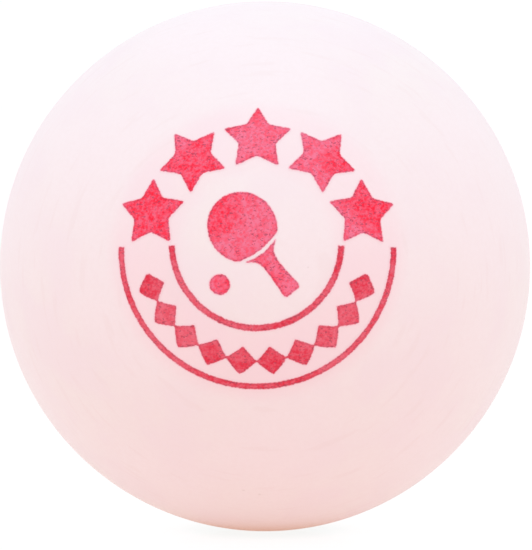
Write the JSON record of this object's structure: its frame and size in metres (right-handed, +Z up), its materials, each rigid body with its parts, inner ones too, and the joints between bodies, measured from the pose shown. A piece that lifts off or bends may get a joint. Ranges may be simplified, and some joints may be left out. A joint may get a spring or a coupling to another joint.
{
  "type": "table tennis ball",
  "caption": "Hollow matte plastic ball with a lap-welded seam and a round printed mark of stars, arcs and a bat, for table tennis.",
  "frame": {"origin": "centre of the ball", "axes": "+Z up; the seam lies in the XZ plane, +Y runs through the rear shell's pole and -Y through the front shell's pole, where the mark is printed"},
  "size_m": [0.0402, 0.0403, 0.0402],
  "materials": {
    "ball_plastic": "matte",
    "weld_plastic": "satin",
    "print_ink": "matte"
  },
  "bodies": {
    "root": {"front_half_shell": "ball_plastic", "rear_half_shell": "ball_plastic", "seam_bead": "weld_plastic", "print_star_1": "print_ink", "print_star_2": "print_ink", "print_star_3": "print_ink", "print_star_4": "print_ink", "print_star_5": "print_ink", "print_outer_arc": "print_ink", "print_inner_arc": "print_ink", "print_lozenge_chain": "print_ink", "print_bat_rubber": "print_ink", "print_bat_handle": "print_ink", "print_ball_dot": "print_ink"}
  },
  "joints": []
}
